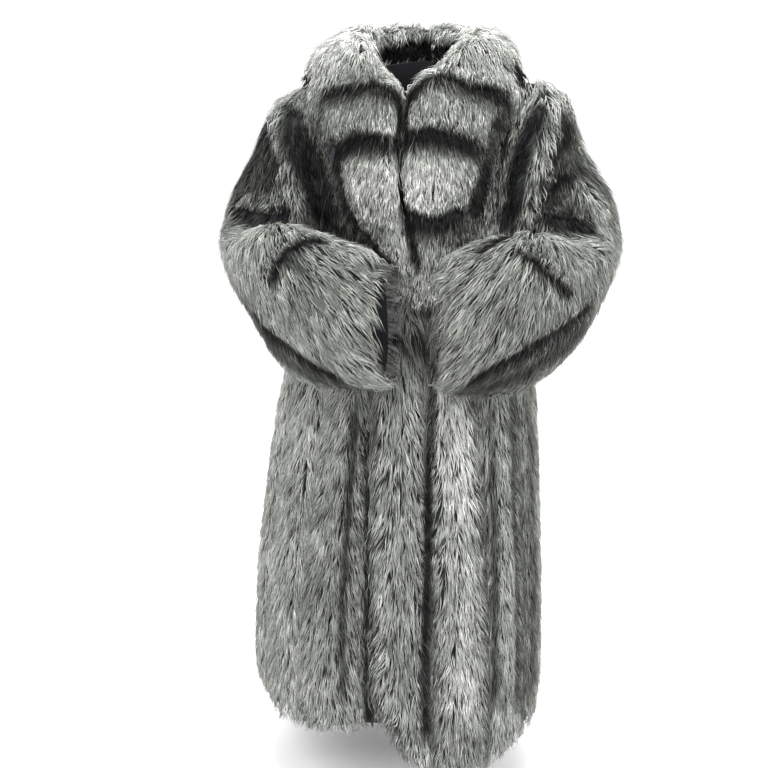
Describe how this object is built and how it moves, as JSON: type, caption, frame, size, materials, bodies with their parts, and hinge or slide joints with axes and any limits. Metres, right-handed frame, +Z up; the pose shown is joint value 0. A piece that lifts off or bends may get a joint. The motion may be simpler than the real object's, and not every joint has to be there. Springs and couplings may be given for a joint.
{
  "type": "fur coat",
  "caption": "Full-length coat of long-haired silver fox with a wide shawl collar in horizontal bands, wide bell sleeves and upright strips, in its worn form with bent arms.",
  "frame": {"origin": "middle of the neck's base on the line of the wearer's shoulders, where the coat is held up", "axes": "+Z up, the front faces -Y, +X is the wearer's left"},
  "size_m": [0.7983, 0.6353, 1.4681],
  "materials": {
    "fur": "long silver, grey and black fox hair over dark underfur"
  },
  "bodies": {
    "root": {"back": "fur", "front_left": "fur", "front_right": "fur", "sleeve_left": "fur", "sleeve_right": "fur", "collar_left": "fur", "collar_right": "fur"}
  },
  "joints": []
}
